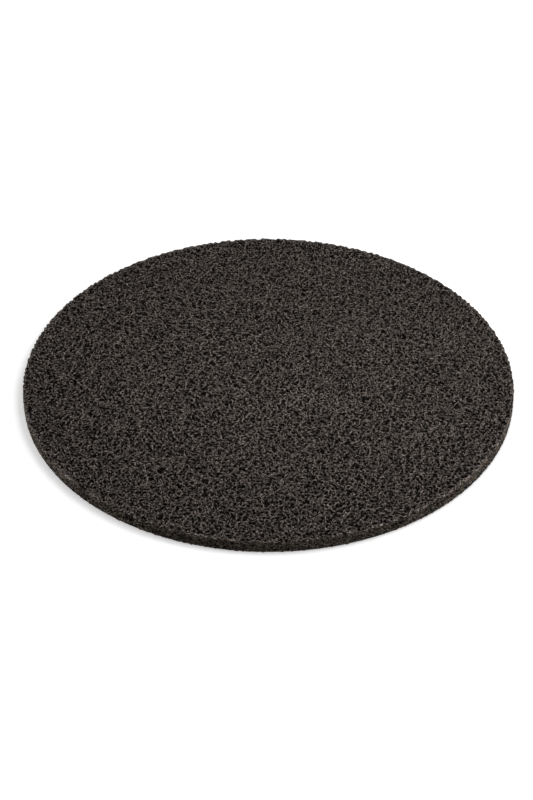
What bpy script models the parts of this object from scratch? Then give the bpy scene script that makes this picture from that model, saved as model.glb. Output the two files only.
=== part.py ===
# A floor polishing pad: a round pad of open non-woven web, cut out by a die.
# Metres, +Z up. The pad lies on its underside and its axis is Z.

from itertools import combinations
import math
import random

import bmesh
import bpy
from mathutils import Vector
from mathutils.geometry import delaunay_2d_cdt, intersect_point_tri_2d

# The pad
PAD_DIAMETER = 0.432
PAD_THICKNESS = 0.012

# The web's strands run straight from knot to knot. Some knots lie a little
# deeper than the face.
STRAND_SPACING = 0.014
KNOT_WANDER = 0.0048
KNOT_DIP = 0.0013

# The pores between the strands. A deep one opens to one face and leaves a
# floor above the other. Shallow ones lie back to back with a core between them.
DEEP_PORE_LEAST_DEPTH = 0.0056
DEEP_PORE_FLOOR = 0.0026
SHALLOW_PORE_LEAST_DEPTH = 0.0026
SHALLOW_PORE_CORE = 0.0018
SHALLOW_PORES_PER_HUNDRED = 24
PORE_LEAN = 0.55

# The cut edge: a softened corner above and below, and pores in the wall
EDGE_STRAND_SPACING = 0.0095
EDGE_SOFTENING = 0.0009
EDGE_FRAY = 0.0006
EDGE_PORE_LEAST_DEPTH = 0.0007
EDGE_PORE_MOST_DEPTH = 0.0019

# The two directions that a face looks in, along Z
UP = 1
DOWN = -1

# Starts the random pattern, which is the same in every build
SEED = 11

WEB_COLOUR = (0.047, 0.041, 0.037, 1.0)
WEB_ROUGHNESS = 0.88


# Setting up

def clear_scene():
    for obj in list(bpy.data.objects):
        bpy.data.objects.remove(obj, do_unlink=True)


def make_collection(name):
    collection = bpy.data.collections.new(name)
    bpy.context.scene.collection.children.link(collection)
    return collection


def web_material():
    material = bpy.data.materials.new("bonded_fibre_web")
    material.use_nodes = True
    shader = material.node_tree.nodes["Principled BSDF"]
    shader.inputs["Base Color"].default_value = WEB_COLOUR
    shader.inputs["Roughness"].default_value = WEB_ROUGHNESS
    shader.inputs["Metallic"].default_value = 0.0
    return material


# The plan of the web, which both faces share

def edge_directions():
    # Evenly spaced round the axis, in fours, so that the pad measures its full
    # diameter along X and along Y
    count = 4 * round(math.pi * PAD_DIAMETER / EDGE_STRAND_SPACING / 4)
    turns = [2 * math.pi * step / count for step in range(count)]
    return [Vector((math.cos(turn), math.sin(turn))) for turn in turns]


def knots_inside(radius, dice):
    # A triangular lattice with a cell's middle on the axis, each knot moved
    # at random by up to the wander
    row_height = STRAND_SPACING * math.sqrt(3) / 2
    reach = math.ceil(radius / row_height) + 1
    limit = radius - STRAND_SPACING / 2
    knots = []
    for row in range(-reach, reach + 1):
        for column in range(-reach, reach + 1):
            along = (column + (row % 2) / 2) * STRAND_SPACING
            across = (row - 1 / 3) * row_height
            turn = dice.uniform(0, 2 * math.pi)
            stray = KNOT_WANDER * math.sqrt(dice.random())
            knot = Vector((along, across)) + stray * Vector((math.cos(turn), math.sin(turn)))
            if knot.length < limit:
                knots.append(knot)
    return knots


def triangles_between(points):
    # Three points each, as numbers in the list, which keeps its order
    return [tuple(three) for three in delaunay_2d_cdt(points, [], [], 0, 0)[2]]


def triangle_on_axis(points, triangles):
    for three in triangles:
        if intersect_point_tri_2d(Vector((0, 0)), *(points[index] for index in three)):
            return three


def choose_openings(triangles, ring_count, closed, dice):
    # Says for each triangle which way its pore opens: both ways where it is
    # shallow, as all those at the edge are, and one way where it is deep. Deep
    # ones that share a strand tend to open opposite ways.
    openings = []
    triangle_beside = {}
    for number, three in enumerate(triangles):
        strands = [frozenset(pair) for pair in combinations(three, 2)]
        nearby = [openings[triangle_beside[s]] for s in strands if s in triangle_beside]
        triangle_beside.update((strand, number) for strand in strands)
        lean = sum(ways[0] for ways in nearby if len(ways) == 1)
        if three == closed:
            openings.append(())
        elif min(three) < ring_count or dice.uniform(0, 100) < SHALLOW_PORES_PER_HUNDRED:
            openings.append((UP, DOWN))
        else:
            openings.append((DOWN if dice.uniform(-1, 1) < 0.45 * lean else UP,))
    return openings


# The solid

def add_ring(bm, points, height):
    return [bm.verts.new((*point, height)) for point in points]


def join_rings(bm, lower, upper):
    # A band of triangles that lean one way and the other in turn
    triangles = []
    count = len(lower)
    for step in range(count):
        after = (step + 1) % count
        low, low_after = lower[step], lower[after]
        high, high_after = upper[step], upper[after]
        if step % 2:
            corners = (low, low_after, high_after), (low, high_after, high)
        else:
            corners = (low, low_after, high), (low_after, high_after, high)
        triangles += [bm.faces.new(three) for three in corners]
    return triangles


def make_funnels(bm, triangles, dice):
    # Returns the funnels' bottoms, which still lie level with the strands, each
    # nearer to one strand than to the others
    corners = [[vert.co.copy() for vert in triangle.verts] for triangle in triangles]
    bottoms = bmesh.ops.poke(bm, faces=triangles)["verts"]
    for bottom, places in zip(bottoms, corners):
        weights = [1 + dice.uniform(-PORE_LEAN, PORE_LEAN) for _ in places]
        total = sum((weight * place for weight, place in zip(weights, places)), Vector())
        bottom.co = total / sum(weights)
    return bottoms


def add_face(bm, points, triangles, openings, level, way, dice):
    # The points in level lie in the face's plane, and half of the others too.
    # Returns the points' vertices in order.
    height = PAD_THICKNESS if way == UP else 0
    verts = []
    for index, point in enumerate(points):
        dip = 0 if index in level else max(0, dice.uniform(-KNOT_DIP, KNOT_DIP))
        verts.append(bm.verts.new((*point, height - way * dip)))
    faces = [bm.faces.new([verts[index] for index in three[::way]]) for three in triangles]
    deep = [face for face, ways in zip(faces, openings) if ways == (way,)]
    shallow = [face for face, ways in zip(faces, openings) if len(ways) == 2]
    for bottom in make_funnels(bm, deep, dice):
        depth = dice.uniform(DEEP_PORE_LEAST_DEPTH, PAD_THICKNESS - DEEP_PORE_FLOOR)
        bottom.co.z = height - way * depth
    for bottom in make_funnels(bm, shallow, dice):
        depth = dice.uniform(SHALLOW_PORE_LEAST_DEPTH, (PAD_THICKNESS - SHALLOW_PORE_CORE) / 2)
        bottom.co.z = height - way * depth
    return verts


def add_wall(bm, directions, low_edge, high_edge, dice):
    # The die leaves the cut a little uneven, always inside the diameter. The
    # four points on X and Y stay on it.
    quarter = len(directions) // 4
    rings = []
    for height in (EDGE_SOFTENING, PAD_THICKNESS - EDGE_SOFTENING):
        frays = [dice.uniform(0, EDGE_FRAY) if step % quarter else 0 for step in range(4 * quarter)]
        radii = [PAD_DIAMETER / 2 - fray for fray in frays]
        places = [radius * direction for radius, direction in zip(radii, directions)]
        rings.append(add_ring(bm, places, height))
    join_rings(bm, low_edge, rings[0])
    join_rings(bm, rings[1], high_edge)
    for bottom in make_funnels(bm, join_rings(bm, *rings), dice):
        outwards = bottom.co.to_2d().normalized().to_3d()
        bottom.co -= outwards * dice.uniform(EDGE_PORE_LEAST_DEPTH, EDGE_PORE_MOST_DEPTH)


def build_pad(collection):
    dice = random.Random(SEED)
    directions = edge_directions()
    count = len(directions)
    face_radius = PAD_DIAMETER / 2 - EDGE_SOFTENING
    ring = [face_radius * direction for direction in directions]
    points = ring + knots_inside(face_radius, dice)
    triangles = triangles_between(points)

    # The pore on the axis stays closed and level, so that each face has a flat
    # spot in its middle to rest on
    closed = triangle_on_axis(points, triangles)
    openings = choose_openings(triangles, count, closed, dice)
    level = {*range(count), *closed}

    bm = bmesh.new()
    underside = add_face(bm, points, triangles, openings, level, DOWN, dice)
    top = add_face(bm, points, triangles, openings, level, UP, dice)
    add_wall(bm, directions, underside[:count], top[:count], dice)
    bm.normal_update()

    mesh = bpy.data.meshes.new("fibre_pad")
    bm.to_mesh(mesh)
    bm.free()
    mesh.materials.append(web_material())
    collection.objects.link(bpy.data.objects.new("fibre_pad", mesh))


clear_scene()
build_pad(make_collection("floor_polishing_pad"))
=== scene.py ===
# The looks of the floor polishing pad: strands of crimped, bonded web over a dark pitted core.
import math
import bpy
import numpy as np
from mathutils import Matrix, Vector
from mathutils.geometry import delaunay_2d_cdt
from mathutils.kdtree import KDTree


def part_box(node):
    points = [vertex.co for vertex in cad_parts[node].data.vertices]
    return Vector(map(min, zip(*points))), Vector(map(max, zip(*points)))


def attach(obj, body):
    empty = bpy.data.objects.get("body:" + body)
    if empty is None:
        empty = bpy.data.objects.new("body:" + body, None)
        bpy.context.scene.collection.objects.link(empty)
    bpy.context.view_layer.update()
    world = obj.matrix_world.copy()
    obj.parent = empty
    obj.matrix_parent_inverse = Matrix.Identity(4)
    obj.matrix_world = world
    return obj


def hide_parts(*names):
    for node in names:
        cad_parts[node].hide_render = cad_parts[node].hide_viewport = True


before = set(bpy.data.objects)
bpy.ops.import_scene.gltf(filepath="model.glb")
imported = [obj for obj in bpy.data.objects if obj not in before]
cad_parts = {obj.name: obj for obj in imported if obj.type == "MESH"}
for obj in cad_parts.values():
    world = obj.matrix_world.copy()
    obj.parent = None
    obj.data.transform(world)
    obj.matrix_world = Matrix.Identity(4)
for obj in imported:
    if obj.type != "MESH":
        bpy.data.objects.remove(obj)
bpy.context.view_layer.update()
padLow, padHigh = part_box("fibre_pad")
padRadius = (padHigh[0] - padLow[0]) / 2
padThickness = padHigh[2] - padLow[2]
print("frame loaded, pad radius", round(padRadius, 4))

millimetre = 0.001
fullTurn = 2 * math.pi
goldenAngle = math.pi * (3 - math.sqrt(5))      # spreads points evenly over a disc
tiny = 1e-12                                    # added to a length that something is divided by
noiseMiddle = 0.5
noiseRange = (0.3, 0.7)                         # holds nearly all the values of a noise node


# Random values between the two of a pair
def ranged(dice, pair, shape=None):
    return dice.uniform(pair[0], pair[1], shape)


class Shade:
    # A socket in a node tree. An expression on it adds the Math nodes that work it out.
    def __init__(self, tree, socket=None):
        self.tree = tree
        self.socket = socket

    # A new node of any kind, with the settings made before its sockets are fed
    def add(self, kind, settings=None, values=None, output=0):
        node = self.tree.nodes.new("ShaderNode" + kind)
        for name, setting in (settings or {}).items():
            setattr(node, name, setting)
        for name, value in (values or {}).items():
            self.feed(node.inputs[name], value)
        return Shade(self.tree, node.outputs[output])

    def feed(self, target, value):
        if isinstance(value, Shade):
            self.tree.links.new(value.socket, target)
        else:
            target.default_value = value

    def maths(self, operation, *values):
        return self.add("Math", {"operation": operation}, dict(enumerate(values)))

    def __add__(self, other):
        return self.maths("ADD", self, other)

    def __radd__(self, other):
        return self.maths("ADD", other, self)

    def __sub__(self, other):
        return self.maths("SUBTRACT", self, other)

    def __rsub__(self, other):
        return self.maths("SUBTRACT", other, self)

    def __mul__(self, other):
        return self.maths("MULTIPLY", self, other)

    def __rmul__(self, other):
        return self.maths("MULTIPLY", other, self)

    # 0 below low, 1 above high, with a soft start and end
    def between(self, low, high):
        settings = {"interpolation_type": "SMOOTHSTEP"}
        return self.add("MapRange", settings, {"Value": self, "From Min": low, "From Max": high})

    # A factor that goes from 1 - spread, where this value is 0, to 1 + spread, where it is 1
    def vary(self, spread):
        return 1 + (self - 0.5) * (2 * spread)

    # A factor that goes from 1, where this value is 0, to the one given, where it is 1
    def towards(self, factor):
        return 1 + self * (factor - 1)

    # Both ends are colours, and this value is the share of the second. A Mix node has sockets
    # for each type of data: its colours are 6 and 7, and its mixed colour is output 2.
    def blend(self, first, second):
        return self.add("Mix", {"data_type": "RGBA"}, {0: self, 6: first, 7: second}, 2)

    # A colour made lighter or darker by this value
    def tint(self, colour):
        return self.add("VectorMath", {"operation": "SCALE"}, {0: colour, "Scale": self})


def newMaterial(name):
    material = bpy.data.materials.new(name)
    material.use_nodes = True
    shader = material.node_tree.nodes["Principled BSDF"]
    return material, Shade(material.node_tree), shader


# A point's place in the pad before the cut edge was made uneven, and its distances from that
# edge and from the nearer face
def placeInPad(shade):
    place = shade.add("Attribute", {"attribute_name": "evenPlace"}, None, "Vector")
    x, y, z = (shade.add("SeparateXYZ", None, {0: place}, axis) for axis in range(3))
    fromEdge = padRadius - shade.maths("SQRT", x * x + y * y)
    fromFace = padThickness / 2 - shade.maths("ABSOLUTE", z - padThickness / 2)
    return place, fromEdge, fromFace


wallZone = {
    "from": 0.6 * millimetre,    # this far from a face the cut edge's colour starts
    "to": 2.0 * millimetre,      # and here it is full
    "reach": 2.5 * millimetre,   # in from the cut edge
}


# 1 in the middle of the cut edge, and 0 at its corners, on the faces and deep in the pad
def onWall(fromEdge, fromFace):
    betweenFaces = fromFace.between(wallZone["from"], wallZone["to"])
    return betweenFaces * (1 - fromEdge.between(0, wallZone["reach"]))


# Noise with features of about the given size in metres
def grain(shade, place, size, detail=1.0):
    return shade.add("TexNoise", None, {"Vector": place, "Scale": 1 / size, "Detail": detail})


# Thin curly lines about that far apart, 1 in the middle of a line and 0 between lines
def curls(shade, place, size, width):
    offMiddle = shade.maths("ABSOLUTE", grain(shade, place, size) - noiseMiddle)
    return 1 - offMiddle.between(0, width)


# Feeds the shader. roughness is 0 where the finish is smoothest and 1 where it is roughest,
# and relief stands up where it is high.
def dress(shade, shader, finish, colour, roughness, relief):
    smooth, rough = finish["roughness"]
    shade.feed(shader.inputs["Base Color"], colour)
    shade.feed(shader.inputs["Roughness"], smooth + roughness * (rough - smooth))
    shader.inputs["Specular IOR Level"].default_value = finish["shine"]
    bump = shade.add("Bump", None, {"Height": relief, "Distance": finish["bumpHeight"]})
    shade.feed(shader.inputs["Normal"], bump)


# A spread is how much lighter and darker than the colour something is
webFinish = {
    "strandColour": (0.155, 0.132, 0.1195, 1),
    "wallTintAndShade": (0.100, 0.083, 0.066, 1),      # on the cut edge: browner as its own tint, darker as painted shade
    "edgeColour": (0.122, 0.082, 0.061, 1),      # in patches along its corners
    "patchSize": 9 * millimetre,
    "patchDetail": 2.0,
    "patchRange": (0.42, 0.66),        # of the noise, from no patch to a full one
    "edgeHighlight": 1.8,                   # painted highlight: times the colour, at the corners
    "edgeWidth": 2.4 * millimetre,
    "toneSpread": 0.1,                 # from strand to strand
    "paintedShadeTone": 0.04,                  # painted shade: what is left of the colour where the web is deepest
    "deepFrom": 0.4 * millimetre,
    "deepTo": 1.9 * millimetre,
    "clotSize": 1.4 * millimetre,      # where the resin has gathered
    "clotSpread": 0.9,
    "gritSize": 0.6 * millimetre,
    "gritDetail": 3.0,
    "gritSpread": 1.0,
    "roughness": (0.5, 0.8),
    "shine": 0.1,
    "bumpHeight": 0.08 * millimetre,
}


def webMaterial(finish):
    material, shade, shader = newMaterial("bonded_web")
    place, fromEdge, fromFace = placeInPad(shade)
    strandTone = shade.add("Attribute", {"attribute_name": "tone"}, None, "Fac")
    clots = grain(shade, place, finish["clotSize"]).between(*noiseRange)
    grit = grain(shade, place, finish["gritSize"], finish["gritDetail"])
    depth = shade.maths("MINIMUM", fromEdge, fromFace)
    # painted shade: the strands turn darker the deeper they lie in the web
    paintedDepthShade = depth.between(finish["deepFrom"], finish["deepTo"])
    # corner: a painted highlight along the cut edge's corners, and where their own brown patches
    # lie
    corner = 1 - (fromEdge + fromFace).between(0, finish["edgeWidth"])
    tone = strandTone.vary(finish["toneSpread"]) * clots.vary(finish["clotSpread"])
    tone = tone * grit.vary(finish["gritSpread"])
    tone = tone * paintedDepthShade.towards(finish["paintedShadeTone"]) * corner.towards(finish["edgeHighlight"])
    patches = grain(shade, place, finish["patchSize"], finish["patchDetail"])
    patches = patches.between(*finish["patchRange"])
    # the cut edge takes its own browner tint, made darker as painted shade
    colour = onWall(fromEdge, fromFace).blend(finish["strandColour"], finish["wallTintAndShade"])
    colour = (corner * patches).blend(colour, finish["edgeColour"])
    dress(shade, shader, finish, tone.tint(colour), grit.between(*noiseRange), grit)
    return material


coreFinish = {
    "ridgeColour": (0.062, 0.0538, 0.0485, 1),
    "wallTintAndShade": (0.039, 0.033, 0.0255, 1),     # on the cut edge: browner as its own tint, darker as painted shade
    # painted shade, nearly black, that the core turns to deep in its pores
    "poreShadeColour": (0.004, 0.0035, 0.003, 1),
    "darkFrom": 0.85 * millimetre,     # below this the colour turns to the painted shade of the pores
    "darkTo": 1.65 * millimetre,
    "clotSize": 1.5 * millimetre,
    "clotSpread": 0.7,
    "fibreSizes": (2.2 * millimetre, 1.4 * millimetre),     # how far apart, for two kinds
    "fibreWidth": 0.12,
    "fibreSpread": 0.55,
    "roughness": (0.75, 0.95),
    "shine": 0.02,
    "bumpHeight": 0.35 * millimetre,
}


def coreMaterial(finish):
    material, shade, shader = newMaterial("web_depths")
    place, fromEdge, fromFace = placeInPad(shade)
    width = finish["fibreWidth"]
    coarse, fine = (curls(shade, place, size, width) for size in finish["fibreSizes"])
    fibres = shade.maths("MAXIMUM", coarse, fine)
    clots = grain(shade, place, finish["clotSize"]).between(*noiseRange)
    depth = shade.maths("MINIMUM", fromEdge, fromFace)
    # painted shade: deeper in the core the colour turns to the nearly black pore colour
    dark = depth.between(finish["darkFrom"], finish["darkTo"])
    tone = fibres.vary(finish["fibreSpread"]) * clots.vary(finish["clotSpread"])
    # the cut edge takes its own browner tint, made darker as painted shade
    colour = onWall(fromEdge, fromFace).blend(finish["ridgeColour"], finish["wallTintAndShade"])
    colour = dark.blend(colour, finish["poreShadeColour"])
    dress(shade, shader, finish, tone.tint(colour), 1 - fibres, fibres)
    return material


cutEdge = {
    "seed": 6,
    "waves": 14,                         # that are added to each other
    "aroundPad": (60, 320),              # how often a wave goes round the pad, least and most
    "slant": 250,                        # radians a metre of height, at most
    "inwards": 0.25 * millimetre,        # at the top, for a wave's usual height
    "inwardsUnder": 0.3,                 # the share of it at the underside
    "inwardsFrom": 1.5,                  # more of this moves more of the edge
    "lower": 0.5 * millimetre,           # how far the top's corner sinks, in the same way
    "lowerFrom": 0.8,
    "narrowness": 60,                    # the higher, the narrower is the strip that moves
}


# The cut isn't even: some of the edge lies further in, and the top's corner there lower. The
# underside's corner is the sharper one.
def unevenEdge(places):
    dice = np.random.default_rng(cutEdge["seed"])
    x, y, z = places.T
    turn = np.arctan2(y, x)
    waves = np.zeros(len(places))
    for _ in range(cutEdge["waves"]):
        count = dice.integers(*cutEdge["aroundPad"])
        slant = dice.uniform(-cutEdge["slant"], cutEdge["slant"])
        phase = dice.uniform(0, fullTurn)
        waves += np.sin(count * turn + slant * z + phase) / math.sqrt(cutEdge["waves"] / 2)
    near = (np.hypot(x, y) / padRadius) ** cutEdge["narrowness"]
    share = cutEdge["inwardsUnder"] + (1 - cutEdge["inwardsUnder"]) * z / padThickness
    inwards = near * share * cutEdge["inwards"] * (cutEdge["inwardsFrom"] + waves).clip(0)
    lower = near * cutEdge["lower"] * (cutEdge["lowerFrom"] + waves).clip(0)
    across = 1 - inwards / padRadius
    return np.column_stack([x * across, y * across, z * (1 - lower / padThickness)])


def fill(items, field, values, kind=np.float32):
    items.foreach_set(field, values.astype(kind).ravel())


# A piece from an array of corners and arrays of faces with three or four corners each. Tones
# are for the corners, and maps hold a place on the map for each corner of each face.
def newPiece(name, places, faces, material, tones=None, maps=None):
    mesh = bpy.data.meshes.new(name)
    mesh.vertices.add(len(places))
    fill(mesh.vertices, "co", unevenEdge(places))
    fill(mesh.attributes.new("evenPlace", "FLOAT_VECTOR", "POINT").data, "vector", places)
    sides = np.concatenate([np.full(len(group), group.shape[1]) for group in faces])
    mesh.loops.add(int(sides.sum()))
    fill(mesh.loops, "vertex_index", np.concatenate([group.ravel() for group in faces]), np.int32)
    mesh.polygons.add(len(sides))
    fill(mesh.polygons, "loop_start", np.concatenate([[0], np.cumsum(sides)[:-1]]), np.int32)
    if maps is not None:
        flat = np.concatenate([group.reshape(-1, 2) for group in maps])
        fill(mesh.uv_layers.new(name="OFBake").uv, "vector", flat)
    if tones is not None:
        fill(mesh.attributes.new("tone", "FLOAT", "POINT").data, "value", tones)
    mesh.update(calc_edges=True)
    mesh.validate()
    mesh.shade_smooth()
    mesh.materials.append(material)
    piece = bpy.data.objects.new(name, mesh)
    bpy.context.scene.collection.objects.link(piece)
    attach(piece, "root")
    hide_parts("fibre_pad")
    print(name, "has", int((sides - 2).sum()), "triangles")
    return piece


core = {
    "seed": 9,
    "spacing": 1.95 * millimetre,              # between the corners of its mesh
    "wander": 0.38,                            # in spacings
    "ringMargin": 0.7,                         # in spacings, between its edge and the next corners
    "skinDepth": (0.5 * millimetre, 1.6 * millimetre),
    "poreDepth": (2.6 * millimetre, 5.2 * millimetre),
    "closedShare": 0.05,                       # of the pores, those that the resin has closed
    "bends": 8,                                # long waves that keep its rows from showing
    "bendLength": (14 * millimetre, 40 * millimetre),
    "bendHeight": 0.6 * millimetre,
    "edgeInset": 0.5 * millimetre,
    "wallRows": 6,
    "wallWander": 0.4 * millimetre,            # up and down, of the corners in a wall's row
    "wallSkinDepth": (0, 1 * millimetre),
    "wallPoreDepth": (1.4 * millimetre, 2.6 * millimetre),
}


# A jittered triangular lattice in which every fourth corner is the bottom of a pore. The
# ring at the edge comes first and has no pores.
def corePlan(dice, ring, radius):
    spacing = core["spacing"]
    rowHeight = spacing * math.sqrt(3) / 2
    reach = math.ceil(radius / rowHeight)
    rows, columns = np.mgrid[-reach:reach + 1, -reach:reach + 1]
    plan = np.stack([(columns + rows % 2 / 2) * spacing, rows * rowHeight], 2).reshape(-1, 2)
    for _ in range(core["bends"]):
        turn, phase = dice.uniform(0, fullTurn, 2)
        wave = fullTurn / ranged(dice, core["bendLength"])
        sway = core["bendHeight"] * np.sin(plan @ (math.cos(turn), math.sin(turn)) * wave + phase)
        plan = plan + sway[:, None] * (-math.sin(turn), math.cos(turn))
    plan = plan + dice.uniform(-1, 1, plan.shape) * core["wander"] * spacing
    pores = ((rows % 2 == 0) & ((columns + rows // 2) % 2 == 0)).ravel()
    inside = np.linalg.norm(plan, axis=1) < radius - spacing * core["ringMargin"]
    ringPores = np.zeros(len(ring), bool)
    return np.concatenate([ring, plan[inside]]), np.concatenate([ringPores, pores[inside]])


def countOf(groups):
    return sum(len(group) for group in groups)


# Returns the core and the middles of the open pores in its top and its underside
def makeCore():
    dice = np.random.default_rng(core["seed"])
    radius = padRadius - core["edgeInset"]
    around = 2 * round(math.pi * radius / core["spacing"])
    turn = fullTurn * np.arange(around) / around
    ring = radius * np.stack([np.cos(turn), np.sin(turn)], 1)
    places, faces, edges, openings = [], [], [], []
    for level, way in ((padHigh[2], 1), (padLow[2], -1)):
        plan, pores = corePlan(dice, ring, radius)
        count = len(plan)
        depth = ranged(dice, core["skinDepth"], count)
        pores &= dice.uniform(0, 1, count) > core["closedShare"]
        depth = np.where(pores, ranged(dice, core["poreDepth"], count), depth)
        openings.append(plan[pores])
        depth[:around] = core["edgeInset"]
        first = countOf(places)
        places.append(np.column_stack([plan, level - way * depth]))
        triangles = delaunay_2d_cdt([Vector(spot) for spot in plan], [], [], 0, 0)[2]
        faces.append(first + np.array(triangles)[:, ::way])
        edges.append(first + np.arange(around))

    # The wall between the two edges, with every second corner of every second row in a pore
    rings = [edges[0]]
    for row in range(1, core["wallRows"]):
        pores = (np.arange(around) + row // 2) % 2 * (row % 2) > 0
        poreInset = ranged(dice, core["wallPoreDepth"], around)
        inset = np.where(pores, poreInset, ranged(dice, core["wallSkinDepth"], around))
        away = radius - inset
        wander = dice.uniform(-1, 1, around) * core["wallWander"]
        height = padHigh[2] - padThickness * row / core["wallRows"] - wander
        rings.append(countOf(places) + np.arange(around))
        places.append(np.column_stack([away * np.cos(turn), away * np.sin(turn), height]))
    rings.append(edges[1])
    for upper, lower in zip(rings, rings[1:]):
        faces.append(np.column_stack([upper, lower, np.roll(lower, -1), np.roll(upper, -1)]))
    piece = newPiece("web_core", np.concatenate(places), faces, coreMaterial(coreFinish))
    return piece, *openings


# What the strands of all the layers and of the cut edge share
strands = {
    "step": 1.8 * millimetre,             # from one ring of corners to the next
    "points": 12,
    "thickness": (0.32 * millimetre, 0.54 * millimetre),    # the least and most radius
    "lumps": 0.25,                        # of the radius, either way
    "crimp": (0.7, 1.4),                  # how far a strand swings, in radians
    "crimpLength": (5 * millimetre, 10 * millimetre),
    "curl": 60,                           # the most turn in radians a metre
    "stray": 0.35,                        # how far it turns at random at each step
    "waveLength": (4.5 * millimetre, 9 * millimetre),
    "waveHeight": (1.0 * millimetre, 2.3 * millimetre),
    "edgeMargin": 1 * millimetre,         # between a strand's middle and the cut edge
    "poreRadius": (1.35 * millimetre, 1.9 * millimetre),
    "clearShare": 0.9,                    # of a pore's radius, kept free of strands
    "fray": 0.6 * millimetre,             # the most that a cut end lies inside the edge
    "mapColumns": 10,
    "mapFill": 0.9,                       # of a strand's share of the map
}
tubeSides = 3                             # an end's map is a triangle too


# How a strand's heading changes along it: a crimp on a slow curl
def headings(dice, count, start):
    along = np.arange(strands["points"]) * strands["step"]
    crimp = ranged(dice, strands["crimp"], (count, 1))
    length = ranged(dice, strands["crimpLength"], (count, 1))
    phase = dice.uniform(0, fullTurn, (count, 1))
    curl = dice.uniform(-strands["curl"], strands["curl"], (count, 1))
    stray = dice.normal(0, strands["stray"], (count, strands["points"])).cumsum(axis=1)
    swing = crimp * np.sin(fullTurn * along / length + phase)
    return start[:, None] + swing + curl * along + stray


# How deep a strand lies along its way, pressed flat against the face where it would pass it
def depths(dice, count, reach):
    along = np.arange(strands["points"]) * strands["step"]
    length = ranged(dice, strands["waveLength"], (count, 1))
    phase = dice.uniform(0, fullTurn, (count, 1))
    middle = ranged(dice, reach, (count, 1))
    height = ranged(dice, strands["waveHeight"], (count, 1))
    return np.maximum(0, middle + height * np.sin(fullTurn * along / length + phase))


def radiiOf(dice, count):
    radii = ranged(dice, strands["thickness"], (count, 1))
    return radii * (1 + strands["lumps"] * dice.uniform(-1, 1, (count, strands["points"])))


# Gives each strand a strip of its own on the map, with its length across. joined says which
# points have a tube to the next one, and first and last are the ends of the whole strands.
def stripMaps(joined, whole, first, last):
    count, points = len(joined), strands["points"]
    columns = strands["mapColumns"]
    rows = math.ceil(count / columns)
    strip = np.arange(count)
    start, low = strip % columns / columns, strip // columns / rows
    gap = 1 / (columns * (points + 1))
    across = start[:, None] + (np.arange(points) + 0.5) * gap
    height = strands["mapFill"] / rows
    left, right = across[:, :-1][joined], across[:, 1:][joined]
    base = np.broadcast_to(low[:, None], joined.shape)[joined]
    maps = []
    for side in range(tubeSides):
        under = base + height * side / tubeSides
        over = under + height / tubeSides
        corners = [left, under, right, under, right, over, left, over]
        maps.append(np.stack(corners, 1).reshape(-1, 4, 2))
    base = low[whole]
    for end, tip in ((across[whole, first], -gap / 3), (across[whole, last], gap / 3)):
        corners = [end, base, end + tip, base + height / 2, end, base + height]
        maps.append(np.stack(corners, 1).reshape(-1, 3, 2))
    return maps


# Tubes round the paths, closed at their ends. used says which points of each path there are.
def makeStrands(name, paths, radii, used, dice, material):
    count, points = used.shape
    along = np.gradient(paths, axis=1)
    along /= np.linalg.norm(along, axis=2, keepdims=True) + tiny
    side = np.cross(along, (0, 0, 1))
    side /= np.linalg.norm(side, axis=2, keepdims=True) + tiny
    lift = np.cross(side, along)
    start = dice.uniform(0, fullTurn, (count, 1, 1, 1))
    turn = start + np.arange(tubeSides)[:, None] * fullTurn / tubeSides
    spokes = np.cos(turn) * side[:, :, None] + np.sin(turn) * lift[:, :, None]
    corners = paths[:, :, None] + spokes * radii[:, :, None, None]
    corners[..., 2] = corners[..., 2].clip(padLow[2], padHigh[2])
    away = np.hypot(corners[..., 0], corners[..., 1])
    corners[..., :2] *= np.minimum(1, padRadius / away)[..., None]

    # The corners' numbers, which count only the points that there are
    number = np.cumsum(used).reshape(count, points, 1) - 1
    number = number * tubeSides + np.arange(tubeSides)
    joined = used[:, 1:] & used[:, :-1]
    near, far = number[:, :-1][joined], number[:, 1:][joined]
    tubes = []
    for this in range(tubeSides):
        after = (this + 1) % tubeSides
        tubes.append(np.stack([near[:, this], far[:, this], far[:, after], near[:, after]], 1))
    whole = used.sum(1) > 1
    first = used[whole].argmax(1)
    last = points - 1 - used[whole, ::-1].argmax(1)
    starts = number[whole, first]
    ends = number[whole, last][:, ::-1]
    maps = stripMaps(joined, whole, first, last)
    tone = np.broadcast_to(dice.uniform(0, 1, (count, 1, 1)), (count, points, tubeSides))[used]
    newPiece(name, corners[used].reshape(-1, 3), [*tubes, starts, ends], material, tone, maps)


# Moves the points of paths that run over a pore out to its rim
def roundPores(flat, pores, dice):
    finder = KDTree(len(pores))
    for number, pore in enumerate(pores):
        finder.insert((*pore, 0), number)
    finder.balance()
    spots = flat.reshape(-1, 2)
    nearest = np.array([finder.find((*spot, 0))[1] for spot in spots])
    away = spots - pores[nearest]
    gap = np.linalg.norm(away, axis=1, keepdims=True) + tiny
    rim = ranged(dice, strands["poreRadius"], (len(pores), 1))[nearest]
    clear = strands["clearShare"]
    pushed = np.maximum(gap, rim * (clear + (1 - clear) * gap / rim))
    return (pores[nearest] + away / gap * pushed).reshape(flat.shape)


# The web's layers near the two faces, the outer one first. reach is the least and most depth
# of a strand's middle.
outerReach = (-0.1 * millimetre, 1.3 * millimetre)
innerReach = (0.3 * millimetre, 2.0 * millimetre)
layers = {
    "top_web": {"seed": 1, "strands": 2850, "reach": outerReach, "onTop": True},
    "top_web_inner": {"seed": 2, "strands": 2850, "reach": innerReach, "onTop": True},
    "under_web": {"seed": 3, "strands": 2850, "reach": outerReach, "onTop": False},
    "under_web_inner": {"seed": 4, "strands": 1900, "reach": innerReach, "onTop": False},
}


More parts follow.
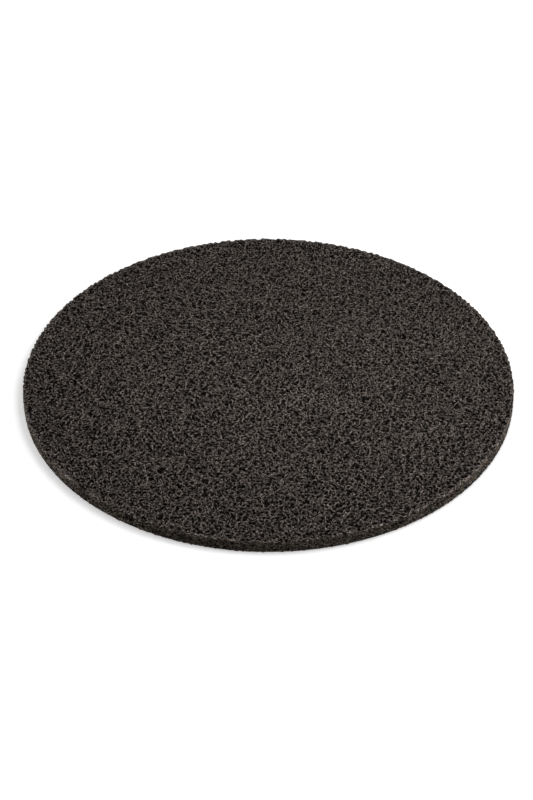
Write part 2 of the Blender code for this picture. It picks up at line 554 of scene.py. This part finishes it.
# Strands that lie along a face, spread evenly over it and round the pores
def makeFaceWeb(name, layer, pores, material):
    dice = np.random.default_rng(layer["seed"])
    count = layer["strands"]
    heading = headings(dice, count, dice.uniform(0, fullTurn, count))
    steps = np.stack([np.cos(heading), np.sin(heading)], 2) * strands["step"]
    order = np.arange(count)
    share = (order + dice.uniform(0, 1, count)) / count
    far = (padRadius - strands["edgeMargin"]) * np.sqrt(share)
    scatter = dice.uniform(-0.5, 0.5, count) * strands["step"]
    turn = order * goldenAngle + scatter / padRadius
    middles = np.stack([far * np.cos(turn), far * np.sin(turn)], 1)
    flat = np.cumsum(steps, axis=1)
    flat = roundPores(middles[:, None] + flat - flat.mean(axis=1, keepdims=True), pores, dice)
    flat[:, 1:-1] = (flat[:, :-2] + 2 * flat[:, 1:-1] + flat[:, 2:]) / 4      # softens the kinks
    radii = radiiOf(dice, count)
    depth = depths(dice, count, layer["reach"]) + radii
    height = padThickness - depth if layer["onTop"] else depth
    cut = padRadius - dice.uniform(0, strands["fray"], (count, 1))

    # From its middle a strand goes both ways up to the cut, with its last point on it
    away = np.linalg.norm(flat, axis=2)
    half = strands["points"] // 2
    ahead = np.cumprod(away[:, half:] < cut, axis=1)
    behind = np.cumprod(away[:, half - 1::-1] < cut, axis=1)
    inside = np.concatenate([behind[:, ::-1], ahead], 1).astype(bool)
    used = inside.copy()
    used[:, 1:] |= inside[:, :-1]
    used[:, :-1] |= inside[:, 1:]
    flat *= np.minimum(1, cut / away)[..., None]
    paths = np.concatenate([flat, height[..., None]], 2)
    makeStrands(name, paths, radii, used, dice, material)


rim = {
    "seed": 5,
    "strands": 1000,
    "crimp": 0.45,                               # of the other strands' turns
    "depth": (-0.4 * millimetre, 1.6 * millimetre),     # of a strand's middle, in from the edge
}


# Strands that run round the cut edge, between the two faces
def makeRimWeb(name, material):
    dice = np.random.default_rng(rim["seed"])
    count = rim["strands"]
    heading = headings(dice, count, np.zeros(count)) * rim["crimp"]
    radii = radiiOf(dice, count)
    start = dice.uniform(0, fullTurn, (count, 1))
    turn = start + np.cumsum(np.cos(heading), axis=1) * strands["step"] / padRadius
    start = dice.uniform(0, padThickness, (count, 1))
    height = start + np.cumsum(np.sin(heading), axis=1) * strands["step"]
    height = padThickness - np.abs(padThickness - np.abs(height))     # turned back at both faces
    height = height.clip(radii, padThickness - radii)
    away = padRadius - radii - depths(dice, count, rim["depth"])
    paths = np.stack([away * np.cos(turn), away * np.sin(turn), height], 2)
    used = np.ones((count, strands["points"]), bool)
    makeStrands(name, paths, radii, used, dice, material)


stage = {
    "floorSize": 6.0,
    "floorGap": 0.05 * millimetre,      # below the pad
    "floorColour": 0.8,
    "cameraColour": 1.0,                # the floor's colour where the camera sees it
    "cameraGlow": (0.35, 1.0),          # that the camera sees, near the pad and far from it
    "nearAndFar": (0.3, 0.8),
    "floorRoughness": 0.9,
    "worldLight": 0.23,
    "lamps": {                          # place, width and power of each
        "key": ((0.28, 0.13, 0.7), 0.5, 2.1),
        "overhead": ((0.06, -0.09, 0.32), 0.3, 0.58),
        "right": ((1.0, -0.35, 0.2), 0.3, 5.0),
        "left": ((-1.0, 0.0, 0.14), 0.25, 5.5),
    },
}


def makeFloor():
    bpy.ops.mesh.primitive_plane_add(size=stage["floorSize"], location=(0, 0, -stage["floorGap"]))
    floor = bpy.context.object
    floor.name = "floor"
    material, shade, shader = newMaterial("pale_floor")
    seen = shade.add("LightPath", None, None, "Is Camera Ray")
    shiny = shade.add("LightPath", None, None, "Is Glossy Ray")
    shown = shade.maths("MAXIMUM", seen, shiny)
    plain, bright = stage["floorColour"], stage["cameraColour"]
    colour = shown.blend((plain, plain, plain, 1), (bright, bright, bright, 1))
    shade.feed(shader.inputs["Base Color"], colour)
    place = shade.add("TexCoord", output="Object")
    distance = shade.add("VectorMath", {"operation": "LENGTH"}, {0: place}, "Value")
    nearGlow, farGlow = stage["cameraGlow"]
    glow = nearGlow + distance.between(*stage["nearAndFar"]) * (farGlow - nearGlow)
    shade.feed(shader.inputs["Emission Color"], (shown * glow).tint((1, 1, 1)))
    shader.inputs["Emission Strength"].default_value = 1.0
    shader.inputs["Roughness"].default_value = stage["floorRoughness"]
    shader.inputs["Specular IOR Level"].default_value = 0.0
    floor.data.materials.append(material)


def makeLight():
    world = bpy.data.worlds.new("studio")
    world.use_nodes = True
    bpy.context.scene.world = world
    shade = Shade(world.node_tree)
    background = world.node_tree.nodes["Background"]
    background.inputs["Color"].default_value = (1, 1, 1, 1)
    seen = shade.add("LightPath", None, None, "Is Camera Ray")
    light = stage["worldLight"]
    shade.feed(background.inputs["Strength"], light + seen * (1 - light))      # white to the camera
    for name, (place, width, power) in stage["lamps"].items():
        data = bpy.data.lights.new(name, "AREA")
        data.energy = power
        data.size = width
        lamp = bpy.data.objects.new(name, data)
        lamp.location = place
        lamp.visible_camera = False
        lamp.rotation_euler = (-Vector(place)).to_track_quat("-Z", "Y").to_euler()
        bpy.context.scene.collection.objects.link(lamp)


photo = {
    "distance": 4.0,            # this and the aim are in pad diameters
    "aimX": -0.0037,
    "aimY": -0.0474,
    "elevation": 38.242,        # degrees above the floor
    "lens": 87.81,              # millimetres, as the sensor's width is
    "sensorWidth": 36,
}


def makeCamera():
    data = bpy.data.cameras.new("camera")
    data.lens = photo["lens"]
    data.sensor_width = photo["sensorWidth"]
    camera = bpy.data.objects.new("camera", data)
    diameter = 2 * padRadius
    tilt = math.radians(photo["elevation"])
    camera.location = Vector((0, -math.cos(tilt), math.sin(tilt))) * photo["distance"] * diameter
    aim = Vector((photo["aimX"], photo["aimY"], 0)) * diameter
    camera.rotation_euler = (aim - camera.location).to_track_quat("-Z", "Y").to_euler()
    bpy.context.scene.collection.objects.link(camera)
    bpy.context.scene.camera = camera


makeCamera()
makeLight()
makeFloor()
print("stage made")
webCore, topPores, underPores = makeCore()
web = webMaterial(webFinish)
for name, layer in layers.items():
    makeFaceWeb(name, layer, topPores if layer["onTop"] else underPores, web)
makeRimWeb("rim_web", web)
print("web made")

bpy.context.scene.view_settings.view_transform = "Standard"
